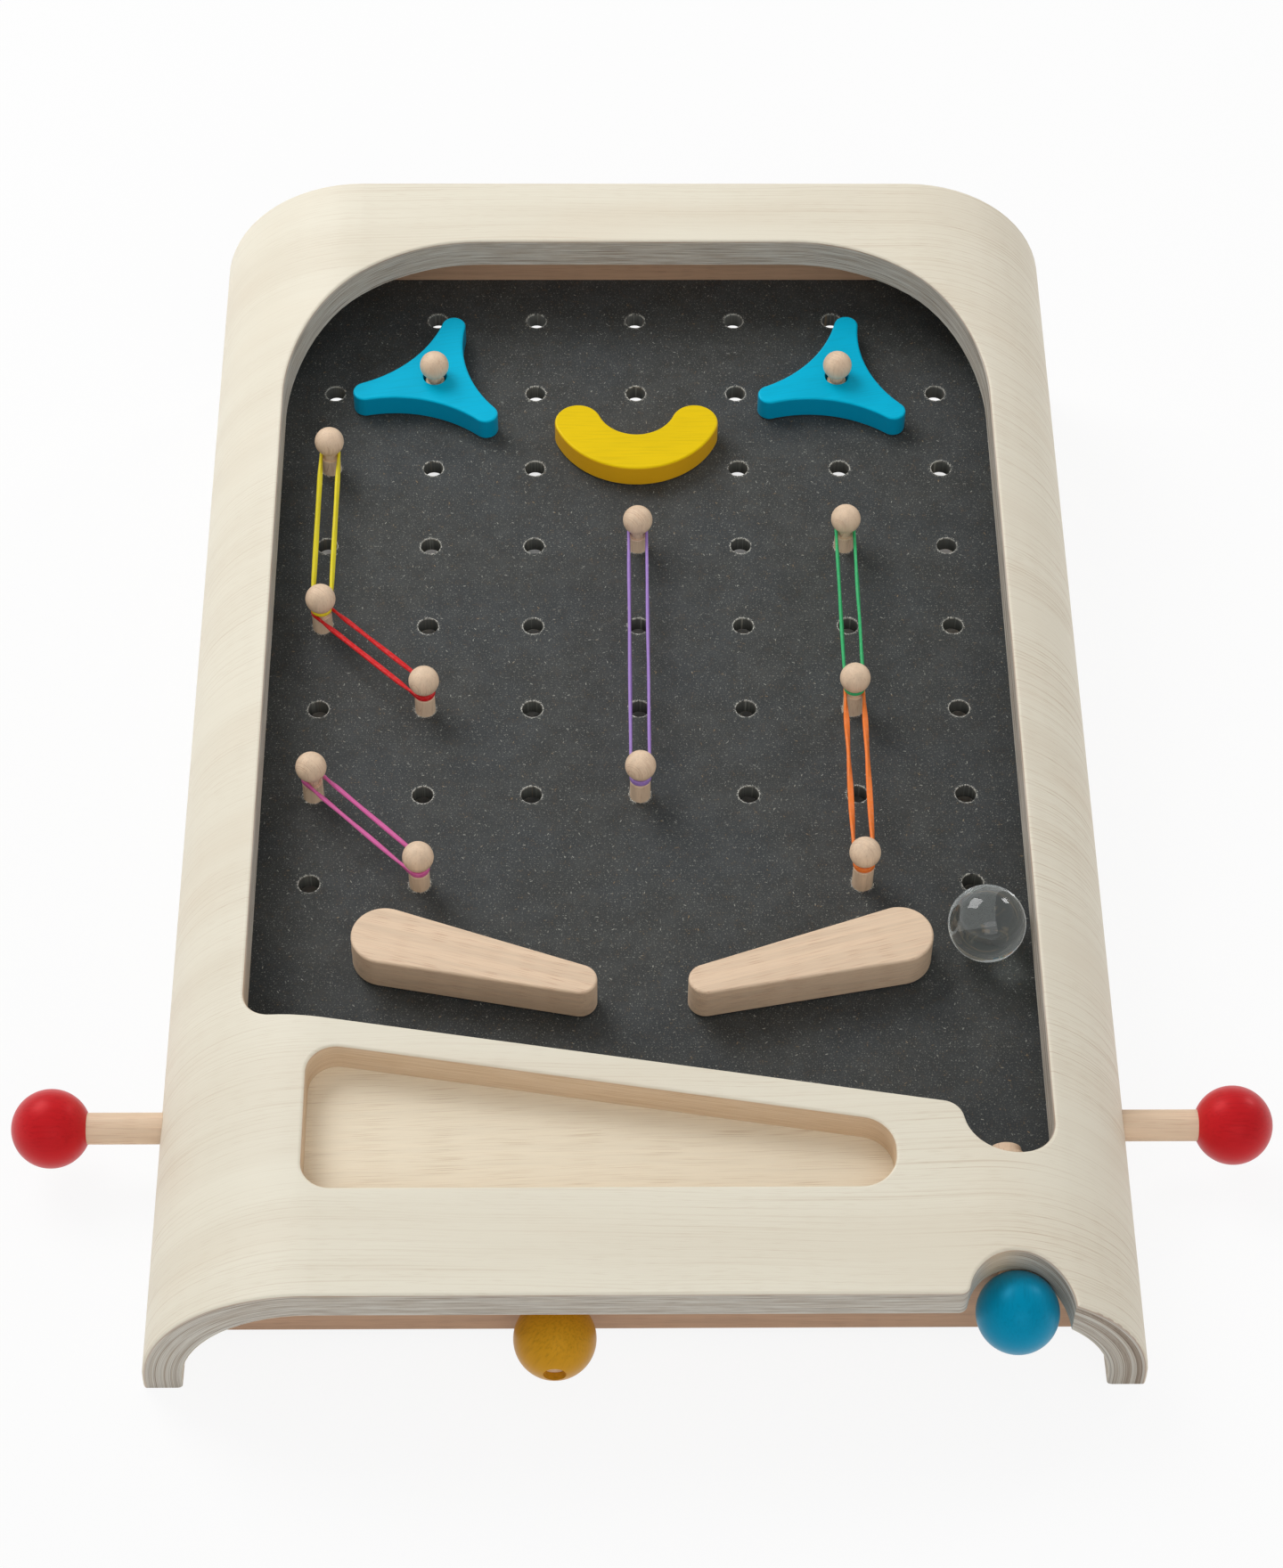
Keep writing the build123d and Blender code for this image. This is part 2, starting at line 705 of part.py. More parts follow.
def pull_stop():
    """The ring that ends the pull rod's travel."""
    stop_back = pull_stop_front + pull_stop_length
    bore = pull_bar(pull_rod_diameter / 2 + glue_clearance, pull_stop_front - overrun, stop_back + overrun)
    return pull_bar(pull_stop_diameter / 2, pull_stop_front, stop_back) - bore


def marble():
    """The glass marble, running up the launch lane."""
    return ball(lane_x, marble_y, marble_radius + rest_clearance, marble_radius)


def both_sides(shapes):
    """The left-hand shapes and their mirror images."""
    return shapes + [mirror(shape, Plane.YZ) for shape in shapes]


nodes = {}

# Carcass
batten_screws = both_sides([place * screw(batten_screw_length) for place in batten_screw_places()])
guide_screws = both_sides([place * screw(guide_screw_length) for place in guide_screw_places()])
batten_hole = screw_body(batten_screw_length, pilot_clearance)
guide_hole = screw_body(guide_screw_length, pilot_clearance)
batten_holes = both_sides([place * batten_hole for place in batten_screw_places()])
guide_holes = both_sides([place * guide_hole for place in guide_screw_places()])
nodes["bent_plywood_shell"] = plywood_shell() - batten_holes
nodes["play_board"] = play_board() - guide_holes
nodes["back_rail"] = back_rail()
nodes["front_apron"] = front_apron()
nodes["tray_floor"] = tray_floor()
nodes["batten_screws"] = Compound(batten_screws)
nodes["guide_screws"] = Compound(guide_screws)

# Flipper drives, drawn for the left hand and mirrored
left_pieces = {
    "batten": left_batten() - batten_holes,
    "flipper": left_flipper(),
    "flipper_shaft": left_shaft(),
    "flipper_crank": left_crank(),
    "push_knob": left_push_knob(),
    "push_rod": left_push_rod(),
    "drive_block": left_drive_block(),
    "drive_pin": left_drive_pin(),
    "rod_guide": left_guide() - guide_holes,
    "return_spring": left_return_spring(),
}
for name, piece in left_pieces.items():
    nodes[f"left_{name}"] = piece
    nodes[f"right_{name}"] = mirror(piece, Plane.YZ)

# Launcher, pull knob and marble
nodes["plunger_rod"] = plunger_rod()
nodes["plunger_knob"] = plunger_knob()
nodes["plunger_collar"] = plunger_collar()
nodes["plunger_spring"] = plunger_spring()
nodes["pull_knob"] = pull_knob()
nodes["pull_rod"] = pull_rod()
nodes["pull_stop"] = pull_stop()
nodes["marble"] = marble()

# Pegs by the row and column of their holes, and how far each stands out beyond its full depth
peg_seats = {
    "left_star_peg": (1, -2, 0),
    "right_star_peg": (1, 2, 0),
    "left_peg_back": (2, -3, -0.5),
    "left_peg_upper": (4, -3, 0),
    "left_peg_middle": (5, -2, 0.5),
    "left_peg_lower": (6, -3, 0.6),
    "left_peg_front": (7, -2, 0.2),
    "middle_peg_back": (3, 0, -1),
    "middle_peg_front": (6, 0, 1.1),
    "right_peg_back": (3, 2, -0.5),
    "right_peg_middle": (5, 2, 1.8),
    "right_peg_front": (7, 2, 2.2),
}
peg_heads = {}
for name, (row, column, lift) in peg_seats.items():
    peg_heads[name] = Vector(*grid_place(row, column), peg_head_height + lift)
    nodes[name] = peg(peg_heads[name])

# Rubber bands by the two pegs they go round and how far below each head; two may share a neck
band_runs = {
    "yellow_band": ("left_peg_back", band_drop, "left_peg_upper", upper_band_drop),
    "red_band": ("left_peg_upper", lower_band_drop, "left_peg_middle", band_drop),
    "pink_band": ("left_peg_lower", band_drop, "left_peg_front", band_drop),
    "purple_band": ("middle_peg_back", band_drop, "middle_peg_front", band_drop),
    "green_band": ("right_peg_back", band_drop, "right_peg_middle", upper_band_drop),
    "orange_band": ("right_peg_middle", lower_band_drop, "right_peg_front", band_drop),
}
for name, (first, first_drop, second, second_drop) in band_runs.items():
    nodes[name] = rubber_band(peg_heads[first] - Vector(0, 0, first_drop),
                              peg_heads[second] - Vector(0, 0, second_drop))

# Bumpers
nodes["left_star"] = star(peg_heads["left_star_peg"], left_star_angle)
nodes["right_star"] = star(peg_heads["right_star_peg"], right_star_angle)
nodes["crescent_bumper"] = crescent()
nodes["crescent_pin"] = crescent_pin()

# Tilt to the slope, then stand the feet on zero with the middle of the box over the origin
tilt = Rot(slope_angle, 0, 0)
box = Compound([tilt * piece for piece in nodes.values()]).bounding_box()
stand = Pos(-box.center().X, -box.center().Y, -box.min.Z) * tilt
os.makedirs("parts", exist_ok=True)
for name, piece in nodes.items():
    export_step(stand * piece, f"parts/{name}.step")

print(f"{len(nodes)} nodes, box {box.size.X:.1f} x {box.size.Y:.1f} x {box.size.Z:.1f} mm")
print(f"shift of the tilted board frame {stand.position}")
print(f"push rod travel {rod_travel:.3f} mm, flipper swing {flipper_swing} degrees")
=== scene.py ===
from math import cos, pi, radians, sin

import bmesh
import bpy
from bpy.props import FloatProperty, FloatVectorProperty, IntProperty, PointerProperty
from mathutils import Matrix, Vector


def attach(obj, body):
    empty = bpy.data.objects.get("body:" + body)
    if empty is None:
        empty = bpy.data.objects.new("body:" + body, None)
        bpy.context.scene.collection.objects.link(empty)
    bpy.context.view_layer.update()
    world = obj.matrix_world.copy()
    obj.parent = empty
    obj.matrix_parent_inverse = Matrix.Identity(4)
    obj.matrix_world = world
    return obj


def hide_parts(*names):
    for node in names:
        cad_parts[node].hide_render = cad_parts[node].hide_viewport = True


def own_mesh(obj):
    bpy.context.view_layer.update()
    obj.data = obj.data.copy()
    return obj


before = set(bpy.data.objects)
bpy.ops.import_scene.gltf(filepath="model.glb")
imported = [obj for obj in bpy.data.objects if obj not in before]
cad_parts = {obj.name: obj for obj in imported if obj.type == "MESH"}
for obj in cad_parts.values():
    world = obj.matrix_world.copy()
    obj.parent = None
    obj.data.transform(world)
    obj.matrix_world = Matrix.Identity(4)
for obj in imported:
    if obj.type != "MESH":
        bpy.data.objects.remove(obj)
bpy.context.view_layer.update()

bl_info = {
    "name": "Tabletop pinball",
    "version": (1, 0, 0),
    "blender": (4, 5, 0),
    "location": "3D View > Sidebar > Pinball",
    "description": "Finishes, rubber bands and springs of a wooden tabletop pinball game, and its stage",
    "category": "Object",
}

# The sloping board's own frame, in millimetres: X to the right, Y up the slope, Z square to the board
slope = radians(6.5)
board_shift = Vector((0, 65.0716, 58.2342))
metre = 0.001
to_world = Matrix.Scale(metre, 4) @ Matrix.Translation(board_shift) @ Matrix.Rotation(slope, 4, "X")
uphill = Vector((0, cos(slope), sin(slope)))
outward = Vector((0, -sin(slope), cos(slope)))

# The bent sheet
deck_half = 152
deck_top = 32
ply_thickness = 12
ply_count = 7
bend_radius = 53
bend_x = deck_half - bend_radius
bend_z = deck_top - bend_radius

# The grid of peg holes and the pegs in it
grid_pitch = 36
hole_radius = 3.5
neck_radius = 2.55
peg_head_height = 14.8
outer_column = 3
back_row = 3.5

# Places and travels of the moving pieces
flipper_rest = radians(15.2)
lane_x = 110
marble_middle = Vector((lane_x, -151, 12.8))
push_travel = 20.27
plunger_travel = 15


def paint(red, green, blue):
    """A colour on the usual scale to 255, as the linear values that shaders take."""
    shares = (red / 255, green / 255, blue / 255)
    return tuple(v / 12.92 if v < 0.0404 else ((v + 0.055) / 1.055) ** 2.4 for v in shares)


def colour(name, description, red, green, blue):
    """A colour that a user may change."""
    return FloatVectorProperty(name=name, description=description, subtype="COLOR", size=3, min=0, max=1,
                               default=paint(red, green, blue))


def length(name, description, millimetres):
    """A length that a user may change, kept in metres."""
    return FloatProperty(name=name, description=description, subtype="DISTANCE", unit="LENGTH", min=0,
                         precision=5, default=millimetres * metre)


def setting(name, description, value, unit="NONE"):
    """A setting of the stage that a user may change."""
    return FloatProperty(name=name, description=description, unit=unit, default=value)


class WoodColours(bpy.types.PropertyGroup):
    """The woods and the dark board."""
    veneer: colour("Veneer", "Pale face veneer of the bent sheet", 240, 233, 214)
    veneer_line: colour("Veneer grain", "Fine lines and pores of the face veneer", 192, 166, 134)
    veneer_blush: colour("Veneer blush", "Warmer patches of the face veneer", 226, 204, 176)
    ply_pale: colour("Pale plies", "Paler streaks of the plies", 212, 208, 198)
    ply_dark: colour("Brown plies", "Browner streaks of the plies", 182, 170, 154)
    ply_deep: colour("Dark plies", "Darkest streaks of the plies", 116, 96, 80)
    glue_line: colour("Glue lines", "Thin brown lines between the plies", 122, 94, 76)
    # Painted light: warm bounce light on the plies in the tray and at the front of the opening.
    tray_bounce_light: colour("Tray wall", "Warm plies in the tray and at the front of the opening", 228, 194, 152)
    skin_edge: colour("Skin edge", "Reddish line where the face veneer is cut", 188, 146, 118)
    beech: colour("Beech", "Pegs, dowels and flippers", 242, 214, 184)
    beech_fleck: colour("Beech flecks", "Short red-brown flecks in the beech", 178, 116, 76)
    # Painted shade: a darker copy of the beech for the back rail and front apron, which stand in shade.
    brown_beech: colour("Brown beech", "Back rail and front apron", 198, 160, 130)
    pine: colour("Tray floor", "Warm pale panel under the tray", 249, 236, 211)
    pine_fleck: colour("Tray floor grain", "Fine dashes of the tray floor", 184, 148, 108)
    board: colour("Board", "Dark play board", 67, 69, 68)
    board_blue: colour("Board tint", "Cooler patches of the dark board", 52, 62, 72)
    board_fibre: colour("Board fibres", "Pale fibres in the dark board", 172, 172, 162)
    board_brown: colour("Brown fibres", "Brown fibres in the dark board", 158, 132, 96)
    board_chip: colour("Board chips", "Pale chips round the holes of the board", 206, 204, 194)


class PaintColours(bpy.types.PropertyGroup):
    """The stained pieces and the rubber bands."""
    red: colour("Red", "Push knobs", 204, 34, 40)
    blue: colour("Blue", "Stars", 0, 188, 226)
    # Painted shade: a darker colour for the upright sides of the stars, where less light falls.
    blue_shaded_side: colour("Blue edges", "Sides of the stars", 0, 150, 194)
    blue_ball: colour("Blue knob", "Plunger knob", 0, 141, 179)
    yellow: colour("Yellow", "Crescent", 242, 206, 14)
    # Painted shade: a warmer, more orange colour for the upright sides of the crescent.
    yellow_shaded_side: colour("Yellow edges", "Sides of the crescent", 246, 180, 34)
    mustard: colour("Mustard", "Pull knob", 208, 150, 34)
    yellow_rubber: colour("Yellow rubber", "Band at the upper left", 242, 224, 28)
    red_rubber: colour("Red rubber", "Band at the middle left", 222, 22, 26)
    pink_rubber: colour("Pink rubber", "Band at the lower left", 226, 104, 170)
    purple_rubber: colour("Purple rubber", "Band in the middle", 166, 130, 206)
    green_rubber: colour("Green rubber", "Band at the upper right", 44, 182, 108)
    orange_rubber: colour("Orange rubber", "Band at the lower right", 252, 130, 46)
    glass: colour("Glass", "Marble", 242, 248, 246)
    steel: colour("Steel", "Springs, pins and screws", 176, 176, 178)


class PieceSizes(bpy.types.PropertyGroup):
    """Sizes of the pieces that are made here."""
    band_thickness: length("Band thickness", "Rubber band, measured out from the peg", 1.0)
    band_height: length("Band height", "Rubber band, measured up the peg", 2.0)
    spring_wire: length("Spring wire", "Diameter of the spring wire", 1)
    spring_radius: length("Spring radius", "Radius of the springs at the middle of the wire", 5.9)
    marble_radius: length("Marble radius", "Radius of the glass marble", 12.5)
    spring_turns: IntProperty(name="Spring turns", description="Working turns", default=6, min=2)


class StageSettings(bpy.types.PropertyGroup):
    """Floor, light and camera."""
    floor_size: setting("Floor size", "Side of the floor", 12, "LENGTH")
    world_level: setting("World level", "Strength of the soft light above", 0.38)
    key_level: setting("Key light", "Power of the lamp at the back left", 25, "POWER")
    side_level: setting("Side light", "Power of the lamp at the back right", 7, "POWER")
    fill_level: setting("Fill light", "Power of the lamp at the front", 10, "POWER")
    floor_glow: setting("Floor glow", "How far the floor is white to the camera", 0.9)
    lens: setting("Lens", "Focal length of the camera", 84.68, "CAMERA")


class Signal:
    """What a socket carries; sums on it add Math nodes to its finish."""

    def __init__(self, finish, socket):
        self.finish = finish
        self.socket = socket

    def __add__(self, other):
        return self.finish.math("ADD", self, other)

    def __radd__(self, other):
        return self.finish.math("ADD", other, self)

    def __sub__(self, other):
        return self.finish.math("SUBTRACT", self, other)

    def __rsub__(self, other):
        return self.finish.math("SUBTRACT", other, self)

    def __mul__(self, other):
        return self.finish.math("MULTIPLY", self, other)

    def __rmul__(self, other):
        return self.finish.math("MULTIPLY", other, self)

    def __truediv__(self, other):
        return self.finish.math("DIVIDE", self, other)

    def __abs__(self):
        return self.finish.math("ABSOLUTE", self)

    def __gt__(self, other):
        return self.finish.math("GREATER_THAN", self, other)

    def __lt__(self, other):
        return self.finish.math("LESS_THAN", self, other)


class Finish:
    """A node tree whose signals are written as expressions."""

    def __init__(self, owner):
        owner.use_nodes = True
        self.owner = owner
        self.tree = owner.node_tree
        self.tree.nodes.clear()

    def node(self, kind, settings=None, inputs=None, output=0):
        """Any node: its settings first, then the values or links of its sockets."""
        made = self.tree.nodes.new("ShaderNode" + kind)
        for key, value in (settings or {}).items():
            setattr(made, key, value)
        for key, value in (inputs or {}).items():
            socket = made.inputs[key]
            if isinstance(value, Signal):
                self.tree.links.new(value.socket, socket)
            elif socket.type == "RGBA":
                socket.default_value = (*value[:3], 1)
            else:
                socket.default_value = value
        return None if output is None else Signal(self, made.outputs[output])

    def math(self, operation, *values):
        return self.node("Math", {"operation": operation}, dict(enumerate(values)))

    def vector(self, operation, *values, output=0):
        return self.node("VectorMath", {"operation": operation}, dict(enumerate(values)), output)

    def scaled(self, signal, factor):
        return self.node("VectorMath", {"operation": "SCALE"}, {0: signal, "Scale": factor})

    def combine(self, x, y, z=0):
        return self.node("CombineXYZ", inputs={0: x, 1: y, 2: z})

    def parts(self, signal):
        return [self.node("SeparateXYZ", inputs={0: signal}, output=i) for i in range(3)]

    def mix(self, factor, first, second):
        return self.node("Mix", {"data_type": "RGBA"}, {0: factor, 6: first, 7: second}, output=2)

    def smooth(self, signal, start, end):
        """A soft step from nought at start to one at end, which may be the lower of the two."""
        return self.node("MapRange", {"interpolation_type": "SMOOTHSTEP"}, {0: signal, 1: start, 2: end})

    def noise(self, vector, detail=2.0, roughness=0.5):
        return self.node("TexNoise", inputs={"Vector": vector, "Scale": 1.0, "Detail": detail,
                                             "Roughness": roughness})

    def cells(self, vector):
        """Scattered points: how far the nearest is, its own random numbers, and the way from it."""
        made = self.node("TexVoronoi", {"voronoi_dimensions": "2D"}, {"Vector": vector, "Scale": 1.0})
        outputs = made.socket.node.outputs
        distance, random, place = (Signal(self, outputs[key]) for key in ("Distance", "Color", "Position"))
        return distance, self.parts(random), self.parts(self.vector("SUBTRACT", vector, place))

    def place(self):
        """Where a point lies on the board, in millimetres."""
        point = self.node("TexCoord", output="Object")
        axes = (Vector((1, 0, 0)), uphill, outward)
        shift = to_world.translation
        return [self.vector("DOT_PRODUCT", point, axis / metre, output="Value") - axis.dot(shift) / metre
                for axis in axes]

    def grain_place(self, axis):
        """Where a point lies along a grain direction of the board's frame, and across it both ways."""
        point = self.combine(*self.place())
        axis = Vector(axis).normalized()
        up = Vector((0, 0, 1)) if abs(axis.z) < 0.9 else Vector((0, 1, 0))
        across = up.cross(axis).normalized()
        ways = (axis, across, axis.cross(across))
        return [self.vector("DOT_PRODUCT", point, way, output="Value") for way in ways]

    def bump(self, height, strength, distance):
        return self.node("Bump", inputs={"Height": height, "Strength": strength,
                                         "Distance": distance * metre})

    def surface(self, **inputs):
        """The Principled shader; words joined by an underscore name its sockets."""
        named = {key.replace("_", " "): value for key, value in inputs.items()}
        self.output(self.node("BsdfPrincipled", inputs=named))
        return self.owner

    def output(self, shader, kind="OutputMaterial"):
        self.node(kind, inputs={"Surface": shader}, output=None)


def new_finish(name):
    return Finish(bpy.data.materials.new(name))


def dress(material, *names):
    """Puts a material on CAD nodes."""
    for name in names:
        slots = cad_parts[name].data.materials
        slots.clear()
        slots.append(material)


def sheet_place(made):
    """Where a point lies: across and up the board, round the bent sheet, and under its face."""
    x, y, z = made.place()
    side = abs(x)
    over = made.math("MAXIMUM", side - bend_x, 0.0)
    rise = made.math("MAXIMUM", z - bend_z, 0.0)
    depth = bend_radius - made.math("SQRT", over * over + rise * rise)
    turn = made.math("ARCTAN2", over, rise)
    run = made.math("MINIMUM", side, bend_x) + bend_radius * turn + made.math("MAXIMUM", bend_z - z, 0.0)
    return x, y, run * made.math("SIGN", x), depth


def face_veneer(made, woods, x, y, along):
    """Pale veneer with its grain round the sheet, stronger at the right: its colour, pores and fibre."""
    right = made.smooth(x, 50.0, 145.0)
    drift = made.noise(made.combine(along * 0.006, y * 0.008), 2.0)
    bent = y + drift * 13
    tone = made.noise(made.combine(along * 0.004, bent * 0.05), 2.0)
    blush = made.noise(made.combine(along * 0.011, bent * 0.03, 5.0), 2.0)
    field = made.noise(made.combine(along * 0.01, bent * 0.03, 12.0), 1.0)
    lines = made.noise(made.combine(along * 0.008, bent * 1.5, 2.0), 4.0, 0.65)
    fibre = made.noise(made.combine(along * 0.035, bent * 3.0), 3.0, 0.7)
    near, random, _ = made.cells(made.combine(along * 0.11 + lines * 3, bent * 2.6))
    pores = made.smooth(near, 0.34, 0.05) * made.smooth(random[0], 0.4, 1.0) * made.smooth(field, 0.3, 0.55)
    patchy = 0.3 + made.smooth(field, 0.35, 0.6) * 0.7
    grain = made.smooth(lines, 0.51, 0.66) * (0.42 + right * 0.45) * patchy
    grain = grain + pores * (0.4 + right * 0.25) + made.smooth(fibre, 0.5, 0.8) * 0.2
    pale = made.mix(made.smooth(tone, 0.35, 0.7) * 0.12, woods.veneer, woods.veneer_line)
    pale = made.mix(made.smooth(blush, 0.5, 0.75) * 0.16 + right * 0.1, pale, woods.veneer_blush)
    return made.mix(grain * 0.6, pale, woods.veneer_line), pores, fibre


def cut_plies(made, woods, x, y, depth):
    """Plies on the cut edges, end grain in every other one and glue lines between, and painted warm bounce
    light in the tray: colour and relief.
    """
    layer = depth * (ply_count / ply_thickness)
    ply = made.math("FLOOR", layer)
    within = made.math("FRACT", layer)
    odd = made.math("MODULO", ply, 2.0)
    wander = made.noise(made.combine(x * 0.05, y * 0.05, ply * 5.3), 2.0)
    line = made.smooth(abs(within - 0.5) + (wander - 0.5) * 0.12, 0.43, 0.5)
    streak = made.noise(made.combine(x * 0.06, y * 0.06, depth * 2.6), 4.0, 0.7)
    hair = made.noise(made.combine(x * 0.05, y * 0.05, depth * 4.0 + 3.0), 2.0)
    speck = made.noise(made.combine(x * 1.1, y * 1.1, depth * 1.6), 3.0, 0.7)
    patch = made.noise(made.combine(x * 0.014, y * 0.014, ply * 3.7), 1.0)
    long_ply = made.mix(made.smooth(streak, 0.4, 0.66), woods.ply_pale, woods.ply_dark)
    end_grain = made.smooth(streak, 0.3, 0.7) * 0.7 + made.smooth(speck, 0.45, 0.75) * 0.3
    end_ply = made.mix(end_grain, woods.ply_dark, woods.ply_deep)
    right = 0.15 + made.smooth(x, 90.0, 135.0) * 0.85
    plies = made.mix(odd * made.smooth(patch, 0.2, 0.62) * right, long_ply, end_ply)
    plies = made.mix(made.smooth(hair, 0.53, 0.66) * 0.55, plies, woods.ply_deep)
    plies = made.mix(line * made.smooth(wander, 0.3, 0.6) * 0.5, plies, woods.glue_line)
    # Painted light: the plies in the tray and at the front of the opening turn warm, for the light bounced
    # there.
    tray = made.smooth(y, -288.0, -280.0) * made.smooth(y, -150.0, -200.0) * made.smooth(x, 116.0, 100.0)
    plies = made.mix(tray * 0.6, plies, woods.tray_bounce_light)
    return made.mix(made.smooth(depth, 1.25, 0.8) * 0.4, plies, woods.skin_edge), speck + streak


def veneer_finish(woods):
    """The bent sheet: pale veneer that follows the bends outside and inside, and cut plies between."""
    made = new_finish("pale_veneer")
    x, y, along, depth = sheet_place(made)
    skin, pores, fibre = face_veneer(made, woods, x, y, along)
    plies, coarse = cut_plies(made, woods, x, y, depth)
    cut = made.smooth(depth, 0.4, 0.75) * made.smooth(depth, ply_thickness - 0.02, ply_thickness - 0.1)
    relief = pores * -0.5 + fibre * 0.2 + cut * coarse * 0.8
    return made.surface(Base_Color=made.mix(cut, skin, plies), Roughness=0.5 + fibre * 0.12 + cut * 0.2,
                        Normal=made.bump(relief, 0.3, 0.1))


def timber_finish(name, tone, fleck, axis, fleck_share=0.5, fleck_length=10, shade=0.86, fineness=3.6):
    """Solid wood with its grain along a direction of the board's frame."""
    made = new_finish(name)
    a, b, c = made.grain_place(axis)
    drift = made.noise(made.combine(a * 0.012, b * 0.05, c * 0.05), 2.0)
    cross = b + c * 1.37 + drift * 5
    streak = made.noise(made.combine(a * 0.014, b * 0.45 + drift * 2, c * 0.45), 3.0, 0.6)
    fibre = made.noise(made.combine(a * 0.05, b * 2.4 + drift * 9, c * 2.4), 3.0, 0.65)
    cluster = made.noise(made.combine(a * 0.03, b * 0.16, c * 0.16), 2.0)
    near, random, _ = made.cells(made.combine(a / fleck_length, cross * fineness))
    flecks = made.smooth(near, 0.36, 0.1) * made.smooth(random[0], 1.0 - fleck_share, 1.0)
    flecks = flecks * (0.35 + made.smooth(cluster, 0.4, 0.6) * 0.65)
    dark = [part * shade for part in tone]
    base = made.mix(made.smooth(streak, 0.35, 0.7) * 0.8, tone, dark)
    base = made.mix(made.smooth(fibre, 0.5, 0.75) * 0.3, base, fleck)
    relief = fibre * 0.5 - flecks * 0.6
    return made.surface(Base_Color=made.mix(flecks * 0.6, base, fleck), Roughness=0.48 + fibre * 0.16,
                        Specular_IOR_Level=0.35, Normal=made.bump(relief, 0.25, 0.08))


def beech_finish(name, woods, axis, fleck_share=0.5):
    """The pale beech of the pegs, dowels, flippers and blocks."""
    return timber_finish(name, woods.beech, woods.beech_fleck, axis, fleck_share)


def board_fibres(made, x, y):
    """Short fibres that lie every way, in three sizes, as a strength from nought to one."""
    flat = made.combine(x, y)
    fibres = None
    layers = ((0.9, 0.19, 0.17, 0.5, 0.0), (1.8, 0.29, 0.19, 0.7, 17.0), (4.8, 0.55, 0.2, 1.0, 41.0))
    for spacing, reach, width, strength, seed in layers:
        cell = made.vector("ADD", made.scaled(flat, 1 / spacing), (seed, seed, 0.0))
        _, random, away = made.cells(cell)
        turn = random[0] * (2 * pi)
        lean = made.math("COSINE", turn)
        tilt = made.math("SINE", turn)
        u = away[0] * lean + away[1] * tilt
        v = away[1] * lean - away[0] * tilt + u * u * 0.6
        long = reach / spacing
        wide = width / spacing
        dash = made.smooth(abs(u), long, long * 0.6) * made.smooth(abs(v), wide, wide * 0.4)
        dash = dash * random[1] * random[1] * strength
        fibres = dash if fibres is None else made.math("MAXIMUM", fibres, dash)
    return fibres


def hole_edges(made, x, y, z):
    """Chipped rims round the holes of the grid, and the paler fibre of the walls inside them."""
    column = made.math("ROUND", x / grid_pitch)
    row = made.math("ROUND", y / grid_pitch - 0.5)
    from_x = x - column * grid_pitch
    from_y = y - (row + 0.5) * grid_pitch
    radius = made.math("SQRT", from_x * from_x + from_y * from_y)
    chips = made.noise(made.combine(x * 2.2, y * 2.2, 4.0), 3.0, 0.75)
    worn = made.noise(made.combine(x * 0.6, y * 0.6, 8.0), 2.0)
    reach = radius - hole_radius - made.smooth(chips, 0.5, 0.7) * 0.8
    rim = made.smooth(reach, 0.3, 0.1) * made.smooth(worn, 0.34, 0.52) * made.smooth(chips, 0.4, 0.52)
    missing = (abs(column) > outer_column - 0.5) * (row > back_row - 1)
    missing = missing + (abs(column) < outer_column - 1.5) * (row < 0.5 - back_row)
    on_grid = (abs(column) < outer_column + 0.5) * (abs(row + 0.5) < back_row + 0.5)
    rim = rim * on_grid * (1.0 - missing) * (z > -0.6)
    wall = made.smooth(radius, hole_radius + 0.1, hole_radius) * on_grid * (z < -0.3)
    return rim, wall * (0.05 + chips * 0.35)


def board_finish(woods):
    """The dark fibre board: mottled grey, pale fibres lying every way, and chipped rims round its holes."""
    made = new_finish("dark_board")
    x, y, z = made.place()
    fibres = board_fibres(made, x, y)
    rim, wall = hole_edges(made, x, y, z)
    mottle = made.noise(made.combine(x * 0.09, y * 0.09), 4.0, 0.7)
    grit = made.noise(made.combine(x * 1.5, y * 1.5, z), 3.0, 0.75)
    hue = made.noise(made.combine(x * 0.3, y * 0.3, 9.0), 2.0)
    cast = made.noise(made.combine(x * 0.03, y * 0.03, 3.0), 2.0)
    sand = made.noise(made.combine(x * 2.4, y * 2.4, 6.0), 2.0, 0.6)
    dark = [part * 0.6 for part in woods.board]
    shade = made.smooth(mottle, 0.36, 0.66) * 0.65 + made.smooth(grit, 0.3, 0.75) * 0.4
    base = made.mix(shade, dark, woods.board)
    base = made.mix(made.smooth(cast, 0.4, 0.65) * 0.35, base, made.mix(0.5, base, woods.board_blue))
    base = made.mix(wall, base, woods.board_fibre)
    strand = made.mix(made.smooth(hue, 0.52, 0.64), woods.board_fibre, woods.board_brown)
    flecks = made.math("MAXIMUM", fibres * 0.85, made.smooth(sand, 0.56, 0.74) * 0.28)
    base = made.mix(flecks, base, strand)
    relief = grit * 0.4 + fibres * 0.5
    return made.surface(Base_Color=made.mix(rim, base, woods.board_chip), Roughness=0.6 + grit * 0.2,
                        Specular_IOR_Level=0.4, Normal=made.bump(relief, 0.25, 0.08))


